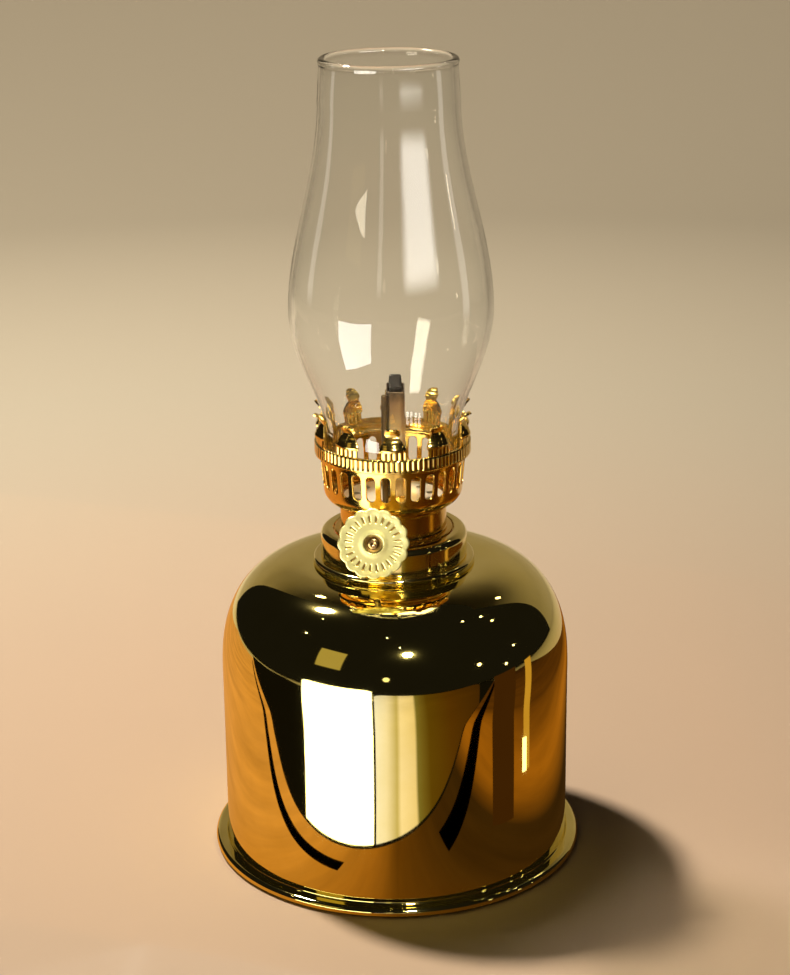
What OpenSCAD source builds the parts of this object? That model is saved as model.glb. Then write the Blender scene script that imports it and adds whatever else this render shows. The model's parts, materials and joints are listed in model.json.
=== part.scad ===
// Table oil lamp: metal tank, screw-in flat-wick burner with a crown of prongs, clear glass chimney.
// Millimetres, +Z up. The origin is the centre of the foot ring's underside. The thumb wheel faces -Y.

/* [Tank] */
// Outer diameter of the straight tank wall
tank_d = 79.2; // [76:0.1:80]
// Outer diameter of the rolled foot bead
foot_d = 85; // [84:0.5:90]
// Height of the rolled foot bead
foot_h = 2.2; // [2.1:0.1:3]
// Sheet thickness of the tank
tank_t = 0.8; // [0.6:0.1:1]
// Height at which the wall starts to curve in to the shoulder
shoulder_z = 42.7; // [38:0.1:44]
// Height of the flat top of the tank
tank_top_z = 68.3; // [67:0.1:70]
// Roundness of the shoulder: 1 is an ellipse, lower is squarer
shoulder_p = 0.8; // [0.7:0.05:1]

/* [Neck collar] */
// Outer diameter of the collar
collar_d = 33; // [32:0.1:34]
// Outer diameter of the collar's foot flange
collar_flange_d = 36.4; // [36:0.1:37]
// Height of the collar above the tank top
collar_h = 7.9; // [7:0.1:9]
// Diameter of the burner's thread over its crests
thread_d = 23.8; // [23:0.1:24]
// Lead of the burner's thread for one turn
thread_pitch = 2; // [1.8:0.1:2.2]

/* [Burner] */
// Outer diameter of the drum
drum_d = 24.4; // [24:0.1:25]
// Height of the drum between the collar and the basket
drum_h = 6.3; // [6:0.1:7]
// Sheet thickness of the burner stampings
sheet_t = 0.5; // [0.4:0.05:0.6]
// Height of the basket from the drum to the ribbed band
basket_h = 10.8; // [10.6:0.1:11]
// Outer diameter at the top of the basket
basket_d = 31.6; // [31.4:0.1:32]
// Number of air slots round the basket
slot_count = 30; // [24:1:32]
// Width of an air slot
slot_w = 2.1; // [1.6:0.1:2.2]
// Length of an air slot
slot_h = 6; // [4:0.1:6]

/* [Prong crown] */
// Outer diameter of the ribbed band
band_d = 34.9; // [34.6:0.1:36]
// Height of the ribbed band
band_h = 3.1; // [2.5:0.1:4]
// Number of ribs round the band
rib_count = 90; // [60:10:100]
// Number of prongs
prong_count = 10; // [8:1:10]
// Height of a prong above the band
prong_h = 7; // [6.8:0.1:8]
// Width of a prong at its leaf
prong_w = 5.9; // [5:0.1:6.2]

/* [Wick and winder] */
// Width of the wick
wick_w = 7; // [6:0.1:7.2]
// Thickness of the wick
wick_t = 2.9; // [2.4:0.1:3]
// Height of the wick tube's mouth
tube_top_z = 109; // [106:0.5:112]
// Length of burnt wick above the tube at rest
wick_show = 2.2; // [1:0.1:4]
// Sideways distance from the lamp's axis to the winder shaft
shaft_x = 4.4; // [4.3:0.1:4.6]
// Upward tilt of the winder shaft towards the wheel
shaft_tilt = 10; // [8:1:11]
// Diameter of the winder shaft
shaft_d = 1.8; // [1.6:0.1:2]
// Distance from the lamp's axis to the thumb wheel
knob_reach = 23; // [22.5:0.5:25]
// Diameter of the thumb wheel over its lobes
knob_d = 15.6; // [14:0.1:16]
// Number of lobes round the thumb wheel
knob_lobes = 16; // [12:1:20]

/* [Chimney] */
// Height of the chimney's rim
chimney_top_z = 181.2; // [175:0.1:190]
// Outer diameter of the rim
chimney_rim_d = 29.8; // [28:0.1:31]
// Outer diameter where the straight neck begins
chimney_neck_d = 30.7; // [30:0.1:32]
// Height at which the straight neck begins
chimney_neck_z = 172; // [165:0.5:174]
// Outer diameter of the belly
chimney_belly_d = 45; // [40:0.5:50]
// Height of the belly
chimney_belly_z = 126.7; // [124:0.1:130]
// Outer diameter of the foot, between the prongs
chimney_foot_d = 29.6; // [29:0.1:30]
// Wall thickness of the glass
glass_t = 1.3; // [1:0.1:1.6]

/* [Hidden] */

$fn = 96;
arc_steps = 10;               // straight pieces in a small arc
curve_steps = 36;             // straight pieces in a long curve
gap = 0.05;                   // running clearance, and the play of a crimped seam
over = 1;                     // how far a cutter runs past the face it cuts

tank_r = tank_d / 2;
foot_r = foot_d / 2;
neck_hole_r = 14;             // hole in the tank's top
foot_edge_r = 0.9;            // rounding of the foot bead
seam_z = 1.05;                // underside of the tank's out-turned edge
seam_t = 0.6;                 // thickness of that edge
seam_r = foot_r - foot_edge_r;  // outer radius of that edge
pan_z = 0.6;                  // underside of the pan's floor
crease = 0.15;                // open line between the wall and the bead
bead_edge = 0.3;              // chamfer of the bead's inner edge
pan_dip = 0.7;                // the pan's floor dips to the bead over this width
top_flat = 0.4;               // flat top of the tank outside the collar's flange

collar_r = collar_d / 2;
collar_flange_r = collar_flange_d / 2;
collar_top_z = tank_top_z + collar_h;
thread_play = 0.15;           // between the thread's crests and the collar's bore
collar_bore_r = thread_d / 2 + thread_play;
collar_spigot_h = 2.1;        // spigot through the tank's top
collar_flange_h = 1.7;
collar_flange_round_r = 0.6;
groove_in = 0.3;              // groove between the flange and the collar's side
groove_h = 0.4;
collar_round_r = 1.7;         // rounding of the collar's top edge
recess_r = 13.6;              // recess in the collar that takes the gasket and the burner's flange
recess_h = 1;
backing_r = 17.5;
backing_h = 1;

gasket_t = 0.4;
gasket_z = collar_top_z - recess_h;
flange_r = 13.3;              // burner's flange, in the recess
flange_z = gasket_z + gasket_t;
flange_t = 0.8;
thread_r = thread_d / 2;
thread_bead_r = 0.5;
skirt_r = thread_r - thread_bead_r;
skirt_bore_r = skirt_r - sheet_t;
skirt_z = tank_top_z - 1.1;   // lower end of the threaded skirt
thread_start = 0.9;           // from there to the thread's first turn
thread_end_gap = 1;           // plain metal between the thread and the flange
floor_z = skirt_z + 3;        // underside of the floor in the skirt
floor_t = 0.8;

drum_r = drum_d / 2;
drum_z = flange_z + flange_t;
drum_top_z = drum_z + drum_h;
plate_t = 0.6;                // air plate on top of the drum
plate_hole_r = 0.9;
plate_hole_ring_r = 8.6;
plate_hole_count = 12;
basket_z = drum_top_z + plate_t;
basket_r = basket_d / 2;
basket_top_z = basket_z + basket_h;
basket_foot_r = drum_r + 0.2;
basket_hem = 1;               // the basket's bottom edge turns in over the air plate
basket_waist_r = basket_r - 0.7;   // where the basket's round bottom meets its straight wall
basket_waist_z = basket_z + 2.9;
slot_top_gap = 1.1;           // metal between the slots and the band
slot_z = basket_top_z - slot_top_gap - slot_h / 2;

band_r = band_d / 2;
rib_h = 0.3;
band_bore_r = band_r - rib_h - sheet_t;
band_top_z = basket_top_z + band_h;
lip_t = 0.5;                  // out-turned lip of the basket, inside the band
seat_z = basket_top_z + lip_t;  // ring on the lip that the chimney stands on
seat_t = 0.6;
seat_bore_r = 12.6;
stem_w = prong_w - 0.5;
stem_h = 2.5;
stem_in = 0.1;                // a stem's face lies this far inside the ribs' grooves
stem_r = band_r - rib_h - stem_in;
stem_root = 0.6;              // overlap of a stem and the band
waist_w = 3.2;
waist_h = 5.1;                // height of the narrowest part of a prong
tip_w = 3.7;
leaf_bulge = 0.35;            // how far a leaf stands out from the band
leaf_foot_h = stem_h + 0.1;   // heights up a leaf, from its lower edge
leaf_full_h = stem_h + 0.4;
leaf_mid_h = stem_h + 0.7;
leaf_back_h = stem_h + 1.2;
leaf_end_h = stem_h + 1.5;
waist_low_h = waist_h - 0.7;  // heights round the waist and up the tip
tip_low_h = waist_h + 0.7;
waist_high_h = waist_h + 0.9;
tip_mid_h = waist_h + 1.5;
tip_point_w = 0.7;            // width at the very top of a tip
waist_in = 1.2;               // how far a prong leans in at its waist
tip_out = 1;                  // how far its tip turns out past the band

tube_t = 0.35;                // wall of the wick tube
tube_x = 0.7;                 // the tube stands this far from the axis, to make room for the wheels
tube_in_w = wick_w + 0.7;
tube_in_t = wick_t + 0.6;
tube_w = tube_in_w + 2 * tube_t;
tube_out_t = tube_in_t + 2 * tube_t;
tube_corner_r = 1.2;
wick_corner_r = 0.8;
tube_z = tank_top_z - 6;      // lower end of the tube, in the tank
window_w = 4.4;               // window in the tube for the spur wheels
window_h = 5.4;
ferrule_h = 1.4;
ferrule_t = 0.6;
vent_r = 0.7;
vent_bore_r = 0.45;
vent_turn = 218;              // the vent touches the tube's corner in this direction
vent_reach = tube_corner_r + vent_r + gap;
vent_x = tube_x - tube_out_t / 2 + tube_corner_r + vent_reach * cos(vent_turn);
vent_y = -tube_w / 2 + tube_corner_r + vent_reach * sin(vent_turn);
vent_top_z = tube_top_z - 0.6;
wick_z = 12;                  // lower end of the wick, in the oil
char_h = 3.4;                 // length of the blackened part
wick_top_z = tube_top_z + wick_show;

shaft_r = shaft_d / 2;
knob_z = 80.3;                // height of the thumb wheel's centre
knob_r = knob_d / 2;
knob_t = 0.9;
lobe_depth = 0.45;
dish_r = 2;                   // round recess in the middle of the wheel
dish_h = 0.5;
hub_r = 2.4;
hub_h = 1.7;
rivet_r = 1.25;
rivet_h = 0.45;
rivet_round_r = 0.2;
shaft_tail = 1;               // the shaft's inner end stands this far past the saddle
wheel_gap = 0.12;             // between the spur wheels' teeth and the wick
tooth_h = 0.9;
wheel_tip_r = shaft_x + tube_x - wick_t / 2 - wheel_gap;
wheel_root_r = wheel_tip_r - tooth_h;
wheel_t = 0.9;
wheel_y = 1.1;                // each wheel stands this far from the middle of the wick
wheel_teeth = 14;
saddle_t = 0.6;
saddle_half = 3;              // half the distance over the saddle's two ears
saddle_h = 4.4;
saddle_back_x = 4.1;          // from the shaft to the saddle's back plate
bush_r = 1.4;
bush_flange_r = 1.8;
bush_flange_t = 0.5;
bush_out = 12.2;              // the bush's flange starts this far along the shaft
bush_l = 2.2;                 // length of the bush behind its flange
stop_r = 1.4;
stop_t = 0.8;

chimney_rim_r = chimney_rim_d / 2;
chimney_neck_r = chimney_neck_d / 2;
chimney_belly_r = chimney_belly_d / 2;
chimney_foot_r = chimney_foot_d / 2;
belly_fullness = 0.85;        // below 1 the belly is rounder towards the foot
chimney_z = seat_z + seat_t;
chimney_flare_z = chimney_z + 4;    // where the foot starts to open out to the belly

// Points of a round arc from angle a0 to a1
function arc(x, y, r, a0, a1, n = arc_steps) =
    [for (i = [0:n]) let(a = a0 + (a1 - a0) * i / n) [x + r * cos(a), y + r * sin(a)]];

// A smooth step from 0 to 1
function ease(t) = t * t * (3 - 2 * t);

// Shoulder of the tank, from the wall to the flat top, moved in by t
function shoulder(t) = let(a = tank_r - collar_flange_r - top_flat, b = tank_top_z - shoulder_z - t)
    [for (i = [0:curve_steps]) let(k = 90 * i / curve_steps)
        [tank_r - t - a * (1 - pow(cos(k), shoulder_p)), shoulder_z + b * pow(sin(k), shoulder_p)]];

// Outside of the chimney as [radius, height], from the foot to just under the rim, moved in by t
function chimney_side(t) = concat(
    [[chimney_foot_r - t, chimney_z]],
    [for (i = [0:curve_steps]) let(k = i / curve_steps)
        [chimney_foot_r - t + (chimney_belly_r - chimney_foot_r) * ease(pow(k, belly_fullness)),
         chimney_flare_z + (chimney_belly_z - chimney_flare_z) * k]],
    [for (i = [1:curve_steps]) let(k = i / curve_steps)
        [chimney_belly_r - t + (chimney_neck_r - chimney_belly_r) * ease(k),
         chimney_belly_z + (chimney_neck_z - chimney_belly_z) * k]]);

function reversed(p) = [for (i = [len(p) - 1:-1:0]) p[i]];

// A ring between two radii
module ring(outer, inner, h, z = 0) {
    translate([0, 0, z])
        difference() {
            cylinder(r = outer, h = h);
            translate([0, 0, -over]) cylinder(r = inner, h = h + 2 * over);
        }
}

// A rounded rectangle standing up as a prism: x is its thickness and y its width
module flat_prism(x, y, corner, z0, z1) {
    translate([tube_x, 0, z0])
        linear_extrude(z1 - z0)
            polygon(concat(
                arc(x / 2 - corner, y / 2 - corner, corner, 0, 90),
                arc(-x / 2 + corner, y / 2 - corner, corner, 90, 180),
                arc(-x / 2 + corner, -y / 2 + corner, corner, 180, 270),
                arc(x / 2 - corner, -y / 2 + corner, corner, 270, 360)));
}

// Puts its children on the winder shaft: local +Z runs out to the thumb wheel, 0 is beside the wick
module on_shaft(along = 0) {
    translate([-shaft_x, -knob_reach, knob_z])
        rotate([90 - shaft_tilt, 0, 0])
            translate([0, 0, along - knob_reach / cos(shaft_tilt)])
                children();
}

// Cuts the tube's and the vent's outlines through a plate between two heights
module tube_holes(z0, z1) {
    flat_prism(tube_out_t, tube_w, tube_corner_r, z0, z1);
    translate([vent_x, vent_y, z0]) cylinder(r = vent_r, h = z1 - z0);
}

// Drawn tank: straight wall, round shoulder, flat top with the neck hole, out-turned edge below
module tank_shell() {
    color("goldenrod")
        rotate_extrude($fn = 180)
            polygon(concat(
                [[tank_r - tank_t, seam_z], [seam_r, seam_z], [seam_r, seam_z + seam_t],
                 [tank_r, seam_z + seam_t]],
                shoulder(0),
                [[neck_hole_r, tank_top_z], [neck_hole_r, tank_top_z - tank_t]],
                reversed(shoulder(tank_t))));
}

// Bottom pan, its rim rolled over the tank's edge as the foot bead
module base_pan() {
    bead_in = tank_r + crease;
    color("gold")
        rotate_extrude($fn = 180)
            polygon(concat(
                [[0, pan_z], [bead_in - pan_dip, pan_z]],
                arc(bead_in + foot_edge_r, foot_edge_r, foot_edge_r, 180, 270),
                arc(foot_r - foot_edge_r, foot_edge_r, foot_edge_r, 270, 360),
                arc(foot_r - foot_edge_r, foot_h - foot_edge_r, foot_edge_r, 0, 90),
                [[bead_in + bead_edge, foot_h], [bead_in, foot_h - bead_edge],
                 [bead_in, seam_z + seam_t + gap], [seam_r + gap, seam_z + seam_t + gap],
                 [seam_r + gap, seam_z - gap], [0, seam_z - gap]]));
}

// Neck collar: foot flange, groove, straight side with a round top edge, recess for the burner
module neck_collar() {
    groove_z = tank_top_z + collar_flange_h;
    color("goldenrod")
        rotate_extrude()
            polygon(concat(
                [[collar_bore_r, tank_top_z - collar_spigot_h],
                 [neck_hole_r, tank_top_z - collar_spigot_h], [neck_hole_r, tank_top_z],
                 [collar_flange_r, tank_top_z]],
                arc(collar_flange_r - collar_flange_round_r, groove_z - collar_flange_round_r,
                    collar_flange_round_r, 0, 90),
                [[collar_r - groove_in, groove_z], [collar_r, groove_z + groove_h]],
                arc(collar_r - collar_round_r, collar_top_z - collar_round_r, collar_round_r, 0, 90),
                [[recess_r, collar_top_z], [recess_r, gasket_z], [collar_bore_r, gasket_z]]));
}

// Ring clinched to the collar's spigot under the tank's top
module collar_backing_ring() {
    color("darkgoldenrod")
        ring(backing_r, neck_hole_r, backing_h, tank_top_z - tank_t - backing_h);
}

// Fibre washer in the collar's recess
module burner_gasket() {
    color("saddlebrown") ring(flange_r, thread_r + 2 * thread_play, gasket_t, gasket_z);
}

// Threaded skirt of the burner, its turns drawn as rings, with the flange that clamps the gasket
module threaded_base() {
    color("peru")
        union() {
            ring(skirt_r, skirt_bore_r, drum_z - skirt_z, skirt_z);
            ring(flange_r, skirt_bore_r, flange_t, flange_z);
            for (z = [skirt_z + thread_start:thread_pitch:flange_z - thread_end_gap])
                translate([0, 0, z])
                    rotate_extrude() translate([skirt_r, 0]) circle(r = thread_bead_r, $fn = 24);
        }
}

// Floor between the tank and the drum
module burner_floor() {
    color("peru")
        difference() {
            translate([0, 0, floor_z]) cylinder(r = skirt_bore_r, h = floor_t);
            tube_holes(floor_z - over, floor_z + floor_t + over);
        }
}

// Round drum that the winder shaft comes out of
module burner_drum() {
    color("orange")
        difference() {
            ring(drum_r, drum_r - sheet_t, drum_h, drum_z);
            on_shaft(drum_r / 2) cylinder(r = bush_r, h = drum_r);
        }
}

// Flanged bush in the drum's wall
module shaft_bush() {
    color("gold")
        difference() {
            union() {
                on_shaft(bush_out - bush_l) cylinder(r = bush_r, h = bush_l);
                on_shaft(bush_out) cylinder(r = bush_flange_r, h = bush_flange_t);
            }
            on_shaft(bush_out - bush_l - over)
                cylinder(r = shaft_r + gap, h = bush_l + bush_flange_t + 2 * over);
        }
}

// Bracket on the wick tube's side: two ears that carry the shaft, joined by a back plate
module shaft_saddle() {
    face = shaft_x + tube_x - tube_out_t / 2;
    color("peru")
        difference() {
            on_shaft(-saddle_half)
                translate([-saddle_back_x - saddle_t, -saddle_h / 2, 0])
                    cube([saddle_back_x + saddle_t + face, saddle_h, 2 * saddle_half]);
            on_shaft(-saddle_half + saddle_t)
                translate([-saddle_back_x, -saddle_h, 0])
                    cube([saddle_back_x + face + over, 2 * saddle_h, 2 * (saddle_half - saddle_t)]);
            on_shaft(-saddle_half - over)
                cylinder(r = shaft_r + gap, h = 2 * (saddle_half + over));
        }
}

// Flat wick tube with a window for the spur wheels
module wick_tube() {
    color("silver")
        difference() {
            flat_prism(tube_out_t, tube_w, tube_corner_r, tube_z, tube_top_z);
            flat_prism(tube_in_t, tube_in_w, tube_corner_r - tube_t, tube_z - over, tube_top_z + over);
            on_shaft(-window_w / 2)
                translate([0, -window_h / 2, 0])
                    cube([shaft_x + tube_x, window_h, window_w]);
        }
}

// Small tube beside the wick tube that lets air into the tank
module vent_tube() {
    color("silver")
        translate([vent_x, vent_y, 0]) ring(vent_r, vent_bore_r, vent_top_z - tube_z, tube_z);
}

// Ferrule that holds the wick tube upright on the air plate
module tube_ferrule() {
    color("gold")
        difference() {
            flat_prism(tube_out_t + 2 * ferrule_t, tube_w + 2 * ferrule_t,
                       tube_corner_r + ferrule_t, basket_z, basket_z + ferrule_h);
            tube_holes(basket_z - over, basket_z + ferrule_h + over);
        }
}

// Perforated plate on top of the drum
module air_plate() {
    color("peru")
        difference() {
            translate([0, 0, drum_top_z]) cylinder(r = basket_foot_r, h = plate_t);
            tube_holes(drum_top_z - over, drum_top_z + plate_t + over);
            for (i = [0:plate_hole_count - 1])
                rotate([0, 0, (i + 0.5) * 360 / plate_hole_count])
                    translate([plate_hole_ring_r, 0, drum_top_z - over])
                        cylinder(r = plate_hole_r, h = plate_t + 2 * over, $fn = 24);
        }
}

// Side of the basket as [radius, height]: a round bottom, then a straight flare
function basket_side(t) = concat(
    [[basket_foot_r - basket_hem, basket_z + t]],
    [for (i = [0:arc_steps]) let(k = 90 * i / arc_steps)
        [basket_foot_r + (basket_waist_r - t - basket_foot_r) * sin(k),
         basket_waist_z - (basket_waist_z - basket_z - t) * cos(k)]],
    t > 0 ? [[basket_r - t, basket_top_z + lip_t]]
          : [[basket_r, basket_top_z], [band_bore_r, basket_top_z], [band_bore_r, basket_top_z + lip_t]]);

// Slotted basket between the drum and the ribbed band
module gallery_basket() {
    half = slot_h / 2 - slot_w / 2;
    color("orange")
        difference() {
            rotate_extrude()
                polygon(concat(basket_side(0), reversed(basket_side(sheet_t))));
            for (i = [0:slot_count - 1])
                rotate([0, 0, i * 360 / slot_count])
                    translate([basket_foot_r - 1, 0, slot_z])
                        rotate([90, 0, 90])
                            linear_extrude(basket_r)
                                polygon(concat(arc(0, half, slot_w / 2, 0, 180),
                                               arc(0, -half, slot_w / 2, 180, 360)));
        }
}

// Ring inside the band that the chimney stands on
module chimney_seat() {
    color("orange") ring(band_bore_r, seat_bore_r, seat_t, seat_z);
}

// Section through a prong as [radius, height], moved in by t
function prong_side(t) = [
    [stem_r - t, band_top_z - stem_root],
    [stem_r - t, band_top_z + stem_h],
    [band_r + leaf_bulge - t, band_top_z + leaf_full_h],
    [band_r + leaf_bulge * 0.6 - t, band_top_z + leaf_back_h],
    [band_r - waist_in * 0.6 - t, band_top_z + waist_low_h],
    [band_r - waist_in - t, band_top_z + waist_h],
    [band_r - waist_in * 0.4 - t, band_top_z + waist_high_h],
    [band_r + tip_out - t, band_top_z + prong_h]];

// Outline of a prong seen from the front: stem, onion-shaped leaf, waist, pointed tip
function prong_half() = [
    [stem_w / 2, -over], [stem_w / 2, leaf_foot_h], [prong_w / 2, leaf_foot_h + gap],
    [prong_w * 0.48, leaf_mid_h], [prong_w * 0.4, leaf_end_h], [waist_w / 2, waist_h],
    [tip_w / 2, tip_low_h], [tip_w * 0.36, tip_mid_h], [tip_point_w / 2, prong_h + over / 5]];

// One prong, standing at +X: its section bent from flat sheet, cut to its outline
module prong() {
    intersection() {
        translate([0, prong_w, 0])
            rotate([90, 0, 0])
                linear_extrude(2 * prong_w)
                    polygon(concat(prong_side(0), reversed(prong_side(sheet_t))));
        translate([0, 0, band_top_z])
            rotate([90, 0, 90])
                linear_extrude(2 * band_r)
                    polygon(concat(prong_half(), [for (p = reversed(prong_half())) [-p[0], p[1]]]));
    }
}

// Ribbed band and its ring of prongs, stamped from one sheet
module prong_crown() {
    color("gold")
        union() {
            difference() {
                translate([0, 0, basket_top_z])
                    linear_extrude(band_h)
                        polygon([for (i = [0:4 * rib_count - 1])
                            let(a = i * 90 / rib_count, r = band_r - (i % 4 < 2 ? 0 : rib_h))
                            [r * cos(a), r * sin(a)]]);
                translate([0, 0, basket_top_z - over]) cylinder(r = band_bore_r, h = band_h + 2 * over);
            }
            for (i = [0:prong_count - 1])
                rotate([0, 0, i * 360 / prong_count - 90]) prong();
        }
}

// Shaft from the saddle through the bush to the thumb wheel
module winder_shaft() {
    start = -saddle_half - shaft_tail;
    color("silver")
        on_shaft(start) cylinder(r = shaft_r, h = knob_reach / cos(shaft_tilt) - start - dish_h);
}

// Pair of toothed wheels that grip the wick through the tube's window
module spur_wheels() {
    color("silver")
        for (y = [-wheel_y, wheel_y])
            on_shaft(y - wheel_t / 2)
                difference() {
                    linear_extrude(wheel_t)
                        polygon([for (i = [0:2 * wheel_teeth - 1])
                            let(a = i * 180 / wheel_teeth, r = i % 2 == 0 ? wheel_tip_r : wheel_root_r)
                            [r * cos(a), r * sin(a)]]);
                    translate([0, 0, -over]) cylinder(r = shaft_r, h = wheel_t + 2 * over);
                }
}

// Collar on the shaft, just inside the bush
module stop_collar() {
    color("silver")
        on_shaft(bush_out - bush_l - 2 * gap - stop_t) ring(stop_r, shaft_r, stop_t);
}

// Scalloped thumb wheel with a hub behind and a round recess in front
module thumb_wheel() {
    steps = 8 * knob_lobes;
    color("gold")
        on_shaft(knob_reach / cos(shaft_tilt) - knob_t)
            difference() {
                union() {
                    linear_extrude(knob_t)
                        polygon([for (i = [0:steps - 1])
                            let(a = i * 360 / steps,
                                r = knob_r - lobe_depth * (1 - abs(cos(a * knob_lobes / 2))))
                            [r * cos(a), r * sin(a)]]);
                    translate([0, 0, -hub_h]) cylinder(r = hub_r, h = hub_h + over / 10);
                }
                translate([0, 0, -hub_h - over]) cylinder(r = shaft_r, h = hub_h + knob_t + 2 * over);
                translate([0, 0, knob_t - dish_h]) cylinder(r = dish_r, h = dish_h + over);
            }
}

// Riveted head on the shaft's end, in the wheel's recess
module wheel_rivet() {
    color("darkgoldenrod")
        on_shaft(knob_reach / cos(shaft_tilt) - dish_h)
            rotate_extrude()
                polygon(concat([[0, 0], [rivet_r, 0]], arc(rivet_r - rivet_round_r, rivet_h - rivet_round_r,
                                              rivet_round_r, 0, 90, 4),
                               [[0, rivet_h]]));
}

// Woven flat wick, from the oil up to the burnt part
module wick() {
    color("ivory") flat_prism(wick_t, wick_w, wick_corner_r, wick_z, wick_top_z - char_h);
}

// Burnt end of the wick
module burnt_wick_tip() {
    color("black") flat_prism(wick_t, wick_w, wick_corner_r, wick_top_z - char_h, wick_top_z);
}

// Blown glass chimney: foot, belly, straight neck and a fire-rounded rim
module chimney() {
    lip = glass_t / 2;
    color("lightcyan", 0.35)
        rotate_extrude($fn = 120)
            polygon(concat(chimney_side(0),
                           arc(chimney_rim_r - lip, chimney_top_z - lip, lip, 0, 180),
                           reversed(chimney_side(glass_t))));
}

tank_shell();
base_pan();
neck_collar();
collar_backing_ring();
burner_gasket();
threaded_base();
burner_floor();
burner_drum();
shaft_bush();
shaft_saddle();
wick_tube();
vent_tube();
tube_ferrule();
air_plate();
gallery_basket();
chimney_seat();
prong_crown();
winder_shaft();
spur_wheels();
stop_collar();
thumb_wheel();
wheel_rivet();
wick();
burnt_wick_tip();
chimney();
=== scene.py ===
"""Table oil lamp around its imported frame: mirror-gold tank, brass burner, burnt wick, clear chimney.

Lengths in this script are millimetres until a mesh or an object is made, where MM turns them into metres.
"""

import json
import math

import bmesh
import bpy
from mathutils import Matrix, Vector, noise


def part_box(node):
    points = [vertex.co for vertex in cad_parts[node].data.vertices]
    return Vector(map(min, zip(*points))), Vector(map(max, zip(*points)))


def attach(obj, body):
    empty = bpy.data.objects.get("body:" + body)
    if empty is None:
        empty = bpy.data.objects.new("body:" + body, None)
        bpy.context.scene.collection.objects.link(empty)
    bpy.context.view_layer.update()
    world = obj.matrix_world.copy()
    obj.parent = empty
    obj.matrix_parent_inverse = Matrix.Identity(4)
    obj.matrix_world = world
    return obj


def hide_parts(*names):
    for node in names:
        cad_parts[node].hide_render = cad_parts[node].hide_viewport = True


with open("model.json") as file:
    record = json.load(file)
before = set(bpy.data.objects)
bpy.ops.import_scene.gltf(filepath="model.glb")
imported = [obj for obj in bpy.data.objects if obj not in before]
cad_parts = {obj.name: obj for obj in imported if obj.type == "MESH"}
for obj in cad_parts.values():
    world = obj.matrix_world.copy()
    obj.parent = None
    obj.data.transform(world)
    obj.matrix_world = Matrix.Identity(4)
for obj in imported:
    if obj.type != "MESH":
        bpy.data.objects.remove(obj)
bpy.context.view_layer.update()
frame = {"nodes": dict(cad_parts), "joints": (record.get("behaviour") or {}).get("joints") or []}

MM = 0.001


# ---- sizes, from the frame where it has them

def span(node):
    """Lowest and highest corner of a CAD node at rest, in millimetres."""
    low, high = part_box(node)
    return [v / MM for v in low], [v / MM for v in high]


def levels(node):
    """Lowest and highest z of a CAD node."""
    low, high = span(node)
    return low[2], high[2]


def radius(node):
    return max(span(node)[1][:2])


def middle(low, high):
    """The x of a box's middle and half of its width."""
    return (high[0] + low[0]) / 2, (high[0] - low[0]) / 2


FOOT_R, FOOT_H = radius("base_pan"), levels("base_pan")[1]
TANK_TOP = levels("tank_shell")[1]
COLLAR_FLANGE_R = radius("neck_collar")
COLLAR_LOW, COLLAR_TOP = levels("neck_collar")
GASKET_Z, FLANGE_Z = levels("burner_gasket")
FLANGE_R = radius("threaded_base")
SKIRT_LOW, DRUM_Z = levels("threaded_base")
DRUM_R, DRUM_TOP = radius("burner_drum"), levels("burner_drum")[1]
LIP_R = radius("gallery_basket")
BASKET_Z, LIP_TOP = levels("gallery_basket")
BAND_Z = levels("prong_crown")[0]
BELLY_R = radius("chimney")
GLASS_Z, GLASS_TOP = levels("chimney")

SHEET = 0.5
TANK_R = 39.6
SHOULDER_Z = 42.7
SHOULDER_POWER = 0.8
NECK_HOLE_R = 14
BAND_R, BAND_H = 17.45, 3.1
RIBS, RIB_DEPTH = 90, 0.2
SLOTS, SLOT_W, SLOT_H = 30, 2.1, 6.0
PRONGS = 10
CORDS = 24
LOBES, LOBE_DEPTH = 16, 0.45
TICKS, TICK_IN, TICK_OUT = 24, 4.6, 6.3
KNOB_R, KNOB_T, KNOB_RECESS_R = 7.8, 0.9, 2.0
SHAFT_R, SHAFT_LEAN = 0.9, 10
# Along the shaft, from the wheel's face in to the upright plane through the lamp's axis.
SHAFT_REACH = 23 / math.cos(math.radians(SHAFT_LEAN))
GLASS_FOOT_R, GLASS_RIM_R, GLASS_T = 14.8, 14.9, 1.3

winder = next(j for j in frame["joints"] if j["name"] == "winder_turn")
shaft_z = Vector(winder["axis"]).normalized()
shaft_y = shaft_z.cross(Vector((1, 0, 0)))
# Local +Z runs out along the winder shaft, and the origin is the thumb wheel's front face.
ON_SHAFT = (Matrix.Translation(Vector(winder["pos_m"]))
            @ Matrix((shaft_y.cross(shaft_z), shaft_y, shaft_z)).transposed().to_4x4())


# ---- mesh helpers

def arc(x, y, r, start, end, steps=8):
    """Points of a round arc, angles in degrees."""
    turns = [math.radians(start + (end - start) * i / steps) for i in range(steps + 1)]
    return [(x + r * math.cos(a), y + r * math.sin(a)) for a in turns]


def rounded(corners, steps=5):
    """A closed outline of (x, y, radius) corners with each corner rounded."""
    points = []
    for i, (x, y, r) in enumerate(corners):
        here = Vector((x, y))
        back = (Vector(corners[i - 1][:2]) - here).normalized()
        ahead = (Vector(corners[(i + 1) % len(corners)][:2]) - here).normalized()
        if r == 0:
            points.append((x, y))
            continue
        half = back.angle(ahead) / 2
        centre = here + (back + ahead).normalized() * (r / math.sin(half))
        first = here + back * (r / math.tan(half)) - centre
        last = here + ahead * (r / math.tan(half)) - centre
        turn = first.angle(last)
        for k in range(steps + 1):
            t = k / steps
            p = centre + (math.sin((1 - t) * turn) * first + math.sin(t * turn) * last) / math.sin(turn)
            points.append((p.x, p.y))
    return points


def ease(t):
    t = min(max(t, 0), 1)
    return t * t * (3 - 2 * t)


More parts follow.
